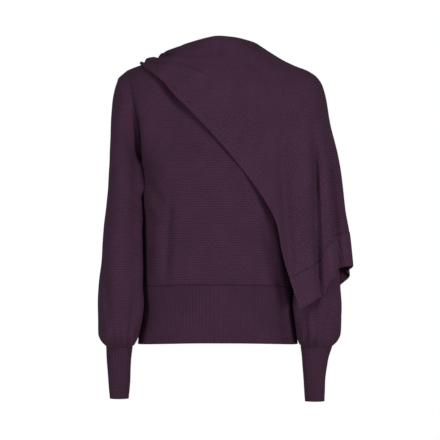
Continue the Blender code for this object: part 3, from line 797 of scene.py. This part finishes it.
def gridFaces(rows, columns, closed):
    # each face's corners as row and column, and the skin that each lies on, 0 out and 1 in
    around = columns if closed else columns - 1
    i, j = np.meshgrid(np.arange(rows - 1), np.arange(around), indexing="ij")
    cell = np.stack([i, j, i, j + 1, i + 1, j + 1, i + 1, j], -1).reshape(-1, 4, 2)
    outside = np.zeros(cell.shape[:2], int)
    faces = [(cell, outside), (cell[:, ::-1], outside + 1)]

    def strip(i, j, nextI, nextJ, flip):
        first = np.stack([i, j], -1)
        second = np.stack([nextI, nextJ], -1)
        place = np.stack([first, second, second, first], 1)
        skin = np.broadcast_to([1, 1, 0, 0], place.shape[:2])
        faces.append((place[:, ::-1], skin[:, ::-1]) if flip else (place, skin))

    j = np.arange(around)
    for row, flip in ((0, False), (rows - 1, True)):
        strip(row + 0 * j, j, row + 0 * j, j + 1, flip)
    if not closed:
        i = np.arange(rows - 1)
        for column, flip in ((0, True), (columns - 1, False)):
            strip(i, column + 0 * i, i + 1, column + 0 * i, flip)
    return np.concatenate([f[0] for f in faces]), np.concatenate([f[1] for f in faces])


def addUv(mesh, name, across, along, place):
    layer = mesh.uv_layers.new(name=name)
    at = np.stack([across[place[..., 0], place[..., 1]], along[place[..., 0], place[..., 1]]], -1)
    layer.data.foreach_set("uv", (at * mm).astype(np.float32).ravel())


def shell(name, grid, thickness, material, lift, sewn, ribs=0.0, courses=None):
    points, normals, closed = grid
    across, along = runLengths(points, closed)
    distance, seamPlace = seamDistance(across, along, sewn)
    if courses is not None:
        along = courses(along)
    outer = points + normals * lift[..., None]
    inner = outer - normals * thickness
    outer = outer + normals * (ribs + 0 * lift)[..., None]
    rows, columns = points.shape[:2]
    place, skin = gridFaces(rows, columns, closed)
    corner = skin * rows * columns + place[..., 0] * columns + place[..., 1] % columns
    mesh = bpy.data.meshes.new(name)
    vertices = np.concatenate([outer.reshape(-1, 3), inner.reshape(-1, 3)]) * mm
    mesh.from_pydata(vertices.tolist(), [], corner.tolist())
    addUv(mesh, "knit", across, along, place)
    addUv(mesh, "seam", distance, seamPlace, place)
    mesh.shade_smooth()
    mesh.materials.append(material)
    piece = bpy.data.objects.new(name, mesh)
    bpy.context.scene.collection.objects.link(piece)
    return piece


def finerColumns(grid, closed, parts):
    after = np.roll(grid, -1, axis=1) if closed else grid[:, 1:]
    before = grid if closed else grid[:, :-1]
    t = (np.arange(parts) / parts)[None, None, :, None]
    mixed = (before[:, :, None] * (1 - t) + after[:, :, None] * t).reshape(len(grid), -1, grid.shape[2])
    return mixed if closed else np.concatenate([mixed, grid[:, -1:]], axis=1)


ribShape = {"power": 0.6, "middle": 0.5}


def ribWave(columns, count, height, closed):
    # rounded ribs with narrow grooves between them
    place = np.arange(columns) / (columns if closed else columns - 1)
    wave = np.abs(np.sin(place * count * math.pi))
    return (height * (wave ** ribShape["power"] - ribShape["middle"]))[None, :]


def knittedPiece(p, grid, n, lift, thickness):
    points, closed = grid
    ribs = 0.0
    if p["ribs"]:
        points, n = [finerColumns(each, closed, p["parts"]) for each in (points, n)]
        lift = finerColumns(lift[..., None], closed, p["parts"])[..., 0]
        ribs = ribWave(points.shape[1], p["ribs"], p["ribHeight"], closed)
    cloth = (points, unit(n), closed)
    return shell(p["name"], cloth, thickness, p["material"], lift, p["sewn"], ribs, p.get("courses"))


# Materials


def linear(hexColour):
    parts = [int(hexColour[k : k + 2], 16) / 255 for k in (0, 2, 4)]
    made = [c / 12.92 if c <= 0.04045 else ((c + 0.055) / 1.055) ** 2.4 for c in parts]
    return (*made, 1.0)


def addNode(tree, kind, values=(), named=None, **settings):
    node = tree.nodes.new("ShaderNode" + kind)
    for key, value in settings.items():
        setattr(node, key, value)
    given = list(zip(node.inputs, values))
    given += [(node.inputs[key], value) for key, value in (named or {}).items()]
    for socket, value in given:
        if isinstance(value, bpy.types.NodeSocket):
            tree.links.new(value, socket)
        else:
            socket.default_value = value
    return node.outputs


def knitMaterial(name, look):
    material = bpy.data.materials.new(name)
    material.use_nodes = True
    tree = material.node_tree
    tree.nodes.clear()

    def calc(operation, *values, **settings):
        return addNode(tree, "Math", values, operation=operation, **settings)[0]

    uv = addNode(tree, "UVMap", uv_map="knit")[0]
    # the yarn never lies quite straight, so the rows of stitches wander a little
    slow = {"Vector": uv, "Scale": look["wanderScale"], "Detail": 1.0}
    wander = addNode(tree, "TexNoise", (), slow)["Fac"]
    wandered = calc("MULTIPLY", calc("SUBTRACT", wander, 0.5), look["wander"] * mm)
    place = addNode(tree, "SeparateXYZ", (uv,))
    wale = calc("MULTIPLY", calc("ADD", place[0], wandered), 1 / (look["wale"] * mm))
    leg = calc("PINGPONG", wale, 0.5)  # 0 between two wales, 0.5 in the middle of one
    course = calc("MULTIPLY", calc("ADD", place[1], wandered), 1 / (look["course"] * mm))
    course = calc("MULTIPLY_ADD", leg, look["lean"], course)
    row = calc("SINE", calc("MULTIPLY", course, 2 * math.pi))
    column = calc("COSINE", calc("MULTIPLY", leg, 4 * math.pi))
    height = calc("MULTIPLY_ADD", row, look["rowShare"] / 2, 0.5)
    height = calc("MULTIPLY_ADD", column, -look["waleShare"] / 2, height)
    # the seam sinks a little, and its linking stitches show as short bars across it; the sunk seam is
    # also painted darker, a painted shade in its groove
    seam = addNode(tree, "SeparateXYZ", (addNode(tree, "UVMap", uv_map="seam")[0],))
    near = calc("SUBTRACT", 1.0, calc("MULTIPLY", seam[0], 1 / (look["seam"] * mm)), use_clamp=True)
    bars = calc("SINE", calc("MULTIPLY", seam[1], 2 * math.pi / (look["stitch"] * mm)))
    barShare = look["barShare"]
    sunk = calc("MULTIPLY", near, calc("MULTIPLY_ADD", bars, barShare, 1 - barShare))
    relief = calc("SUBTRACT", height, sunk)
    # heathered yarn: neighbouring stitches differ a little in tone
    noise = {"Vector": uv, "Scale": look["heatherScale"], "Detail": 3.0, "Roughness": 0.65}
    speckle = calc("SUBTRACT", addNode(tree, "TexNoise", (), noise)["Fac"], 0.5)
    patches = {"Vector": uv, "Scale": look["broadScale"], "Detail": 2.0}
    patch = calc("SUBTRACT", addNode(tree, "TexNoise", (), patches)["Fac"], 0.5)
    tone = calc("MULTIPLY_ADD", speckle, look["heather"], height)
    tone = calc("MULTIPLY_ADD", patch, look["broad"], tone)
    # painted shade: the colour darkens as deep as the seam sinks
    tone = calc("MULTIPLY_ADD", sunk, -look["seamPaintedShade"], tone, use_clamp=True)
    mixed = {"Factor": tone, "A": linear(look["dark"]), "B": linear(look["light"])}
    colour = addNode(tree, "Mix", (), mixed, data_type="RGBA")["Result"]
    bumped = {"Strength": look["bump"], "Distance": look["depth"] * mm, "Height": relief}
    surface = {
        "Base Color": colour,
        "Normal": addNode(tree, "Bump", (), bumped)[0],
        "Roughness": look["roughness"],
        "Sheen Weight": look["sheen"],
        "Sheen Roughness": look["sheenRoughness"],
        "Sheen Tint": linear(look["sheenTint"]),
        "Specular IOR Level": look["specular"],
    }
    addNode(tree, "OutputMaterial", (addNode(tree, "BsdfPrincipled", (), surface)[0],))
    return material


# Real courses are 1.3 mm and wales 1.6 mm apart, too fine to show, so they are drawn coarser.
jerseyLook = {
    "wale": 3.4,
    "course": 5.0,
    "lean": 0.7,
    "rowShare": 0.55,
    "waleShare": 0.22,
    "wander": 2.8,
    "wanderScale": 38.0,
    "heather": 3.6,
    "heatherScale": 430.0,
    "broad": 0.6,
    "broadScale": 16.0,
    "seam": 1.1,
    # how much painted shade darkens the sunk seam
    "seamPaintedShade": 0.15,
    "stitch": 3.2,
    "barShare": 0.25,
    "bump": 0.45,
    "depth": 0.7,
    "dark": "2b1826",
    "light": "482941",
    "sheenTint": "9a7a90",
    "sheen": 0.06,
    "sheenRoughness": 0.5,
    "roughness": 0.9,
    "specular": 0.2,
}
ribStitch = {"course": 3.6, "wale": 2.8, "rowShare": 0.25, "waleShare": 0.2}
ribLook = dict(jerseyLook, **ribStitch, dark="2b1826", light="472940")
scarfLook = dict(jerseyLook, course=4.4, dark="2d1928", light="4a2b43")
scarfRibLook = dict(ribLook, dark="2f1b2b", light="4e2f47")

# gives the eye a dull, dense plum jersey with fine level rows
merinoJersey = knitMaterial("merino jersey, machine knitted", jerseyLook)
# gives the eye a firmer, slightly darker band whose ribs stand up
merinoRib = knitMaterial("merino rib, machine knitted", ribLook)
# gives the eye the scarf's lighter jersey, whose rows run slantwise across the chest
scarfJersey = knitMaterial("merino scarf jersey, machine knitted", scarfLook)
# gives the eye the close ribs at the scarf's end
scarfRib = knitMaterial("merino scarf rib, machine knitted", scarfRibLook)
print("stage: materials")

# Pieces of the body

grids = {
    "front": (panelGrid("front"), False),
    "back": (panelGrid("back")[:, ::-1], False),
    "frontHem": (hemGrid("front"), False),
    "backHem": (hemGrid("back")[:, ::-1], False),
    "rightSleeve": (sleeveGrid(False)[::-1], True),
    "leftSleeve": (sleeveGrid(True)[::-1, ::-1], True),
    "rightCuff": (tubeRings(cuff, False)[::-1], True),
    "leftCuff": (tubeRings(cuff, True)[::-1, ::-1], True),
    "neckband": (neckbandGrid(6), True),
}
normals = sharedNormals(grids)


def sleeveLift(points, left):
    turn = np.linspace(0, 360, sleeve["around"], endpoint=False)
    turn = (turn[::-1] if left else turn) + 180
    turn = np.broadcast_to(turn % 360 - 180, points.shape[:2])
    z = points[..., 2]
    ramp = smoothStep((cuffGather["fromZ"] - z) / (cuffGather["fromZ"] - cuffGather["toZ"]))
    ramp = ramp * smoothStep((z - cuffGather["seamZ"]) / cuffGather["seamRun"])
    shift = cuffGather["uneven"] * np.sin(np.radians(turn) * cuffGather["unevenWaves"])
    wave = np.cos(np.radians(turn) * cuffGather["waves"] + shift)
    return creaseLift(sleeveCreases, turn, z) + cuffGather["height"] * ramp * wave


made = {}
bodyPieces = {
    "columns": ("name", "material", "creases", "sewn", "parts", "ribs", "ribHeight"),
    "rows": (
        ("front", merinoJersey, frontCreases, ("foot", "start", "end", "top"), 1, 0, 0),
        ("back", merinoJersey, backCreases, ("foot", "start", "end", "top"), 1, 0, 0),
        ("frontHem", merinoRib, frontCreases, ("top", "start", "end"), 5, 78, 1.3),
        ("backHem", merinoRib, backCreases, ("top", "start", "end"), 5, 78, 1.3),
        ("rightSleeve", merinoJersey, None, ("foot", "top"), 1, 0, 0),
        ("leftSleeve", merinoJersey, None, ("foot", "top"), 1, 0, 0),
        ("rightCuff", merinoRib, None, ("top",), 3, 36, 1.2),
        ("leftCuff", merinoRib, None, ("top",), 3, 36, 1.2),
        ("neckband", merinoRib, None, ("foot",), 6, 60, 1.0),
    ),
}
for p in rowsOf(bodyPieces):
    points = grids[p["name"]][0]
    lift = armholeLift(points) + swellLift(points)
    if p["creases"]:
        lift = lift + creaseLift(p["creases"], points[..., 0], points[..., 2])
    if "Sleeve" in p["name"]:
        lift = lift + sleeveLift(points, p["name"] == "leftSleeve")
    made[p["name"]] = knittedPiece(p, grids[p["name"]], normals[p["name"]], lift, body["thickness"])
print("stage: body")

# Pieces of the scarf

edgeAngles = spreadAngles(scarf["startAngle"], scarf["seamAngle"], scarf["edgeColumns"], 0.6)
endAngles = spreadAngles(scarf["seamAngle"], scarf["backAngle"], scarf["endColumns"], 1.0)
allAngles = np.concatenate([edgeAngles, endAngles[1:]])
scarfGrids = {
    "scarf": (scarfGrid(allAngles), False),
    "scarfEnd": (scarfRibGrid(endAngles), False),
}
scarfNormals = sharedNormals(scarfGrids)
scarfSlant = 0.8  # how steeply the scarf's rows of stitches rise across the chest


def slantedCourses(along):
    # the rows run parallel to the scarf's end, up to the arm and down again behind it
    seam = endZ["seamZ"](np.maximum(allAngles, scarf["seamAngle"]))
    foot = np.array([footHeight(a) for a in allAngles])
    x = capePoint(allAngles, foot)[:, 0]
    atSeam = x[len(edgeAngles) - 1]
    seam = seam - scarfSlant * np.maximum(atSeam - x, 0)
    return (along + foot - seam) / math.hypot(1, scarfSlant)


def scarfLift(points):
    front = points[..., 1] < 0
    inFront = creaseLift(scarfCreases, points[..., 0], points[..., 2]) * front
    behind = creaseLift(scarfBackCreases, points[..., 0], points[..., 2]) * ~front
    return inFront + behind + swellLift(points)


scarfPieces = {
    "columns": ("name", "material", "sewn", "parts", "ribs", "ribHeight", "courses"),
    "rows": (
        ("scarf", scarfJersey, (), 1, 0, 0, slantedCourses),
        ("scarfEnd", scarfRib, ("top",), 2, 80, 1.3, None),
    ),
}
for p in rowsOf(scarfPieces):
    grid = scarfGrids[p["name"]]
    lift = scarfLift(grid[0])
    made[p["name"]] = knittedPiece(p, grid, scarfNormals[p["name"]], lift, scarf["thickness"])
print("stage: scarf")

# What each piece stands for, and the size of its cloth, in metres

panels = ("front_panel", "back_panel")
scarfNodes = ("scarf_front", "scarf_arm")
cut = {
    "columns": ("piece", "nodes", "slot", "width", "length", "area", "held", "rests"),
    "rows": (
        ("front", ("front_panel",), "jersey", 0.52, 0.51, 0.20, "hung", ("back_panel",)),
        ("back", ("back_panel",), "jersey", 0.45, 0.51, 0.20, "hung", ("front_panel",)),
        ("frontHem", ("front_hem_rib",), "rib", 0.44, 0.12, None, "hung", ("front_panel",)),
        ("backHem", ("back_hem_rib",), "rib", 0.43, 0.12, None, "hung", ("back_panel",)),
        ("rightSleeve", ("right_sleeve",), "jersey", 0.45, 0.59, 0.15, "hung", panels),
        ("leftSleeve", ("left_sleeve",), "jersey", 0.45, 0.59, 0.15, "hung", panels),
        ("rightCuff", ("right_cuff",), "rib", 0.154, 0.108, None, "hung", ("right_sleeve",)),
        ("leftCuff", ("left_cuff",), "rib", 0.157, 0.115, None, "hung", ("left_sleeve",)),
        ("neckband", ("neckband",), "rib", 0.49, 0.0175, None, "hung", panels),
        ("scarf", scarfNodes, "scarf_knit", 1.0, 0.55, 0.207, "draped", panels),
        ("scarfEnd", ("scarf_end_rib",), "scarf_knit", 0.415, 0.064, None, "draped", ("scarf_arm",)),
    ),
}
for c in rowsOf(cut):
    piece = made[c["piece"]]
    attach(piece, "root")
    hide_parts(*c["nodes"])

# Stage, light and camera

stage = {"floorZ": -1.1, "floorSize": 3.0, "floor": "f2f1ef", "roughness": 0.9, "ambient": 0.2}
floorMesh = bpy.data.meshes.new("floor")
half = stage["floorSize"] / 2
corners = [(-half, -half, 0), (half, -half, 0), (half, half, 0), (-half, half, 0)]
floorMesh.from_pydata(corners, [], [(0, 1, 2, 3)])
floor = bpy.data.objects.new("floor", floorMesh)
floor.location.z = stage["floorZ"]
bpy.context.scene.collection.objects.link(floor)
paint = bpy.data.materials.new("matte studio floor")
paint.use_nodes = True
coat = paint.node_tree.nodes["Principled BSDF"].inputs
coat["Base Color"].default_value = linear(stage["floor"])
coat["Roughness"].default_value = stage["roughness"]
floorMesh.materials.append(paint)

# a white studio that is seen white, but lights the cloth more weakly than the lamps do
world = bpy.data.worlds.new("studio")
bpy.context.scene.world = world
world.use_nodes = True
seen = addNode(world.node_tree, "LightPath")["Is Camera Ray"]
ranged = {"Value": seen, "To Min": stage["ambient"], "To Max": 1.0}
strength = addNode(world.node_tree, "MapRange", (), ranged)[0]
background = addNode(world.node_tree, "Background", ((1, 1, 1, 1), strength))[0]
world.node_tree.links.new(background, world.node_tree.nodes["World Output"].inputs["Surface"])

lamps = {
    "columns": ("name", "x", "y", "z", "aimZ", "size", "power"),
    "rows": (
        ("right", 2.1, -2.4, -0.4, -0.45, 0.8, 46),
        ("left", -2.0, -2.5, 0.15, -0.4, 1.0, 41),
        ("top", 0.5, -2.0, 1.9, -0.2, 1.0, 12),
    ),
}
for lamp in rowsOf(lamps):
    data = bpy.data.lights.new(lamp["name"], "AREA")
    data.size = lamp["size"]
    data.energy = lamp["power"]
    light = bpy.data.objects.new(lamp["name"], data)
    light.location = (lamp["x"], lamp["y"], lamp["z"])
    aim = Vector((0, 0, lamp["aimZ"])) - light.location
    light.rotation_euler = aim.to_track_quat("-Z", "Y").to_euler()
    bpy.context.scene.collection.objects.link(light)

camera = {"distance": 5.0, "width": 0.924, "x": 0.0042, "z": -0.3444, "sensor": 36.0, "reach": 50.0}
cameraData = bpy.data.cameras.new("camera")
cameraData.sensor_width = camera["sensor"]
cameraData.lens = camera["sensor"] * camera["distance"] / camera["width"]
cameraData.clip_end = camera["reach"]
eye = bpy.data.objects.new("camera", cameraData)
eye.location = (camera["x"], -camera["distance"], camera["z"])
eye.rotation_euler = (math.radians(90), 0, 0)
bpy.context.scene.collection.objects.link(eye)
bpy.context.scene.camera = eye
bpy.context.scene.view_settings.view_transform = "Standard"
print("stage: lights and camera")
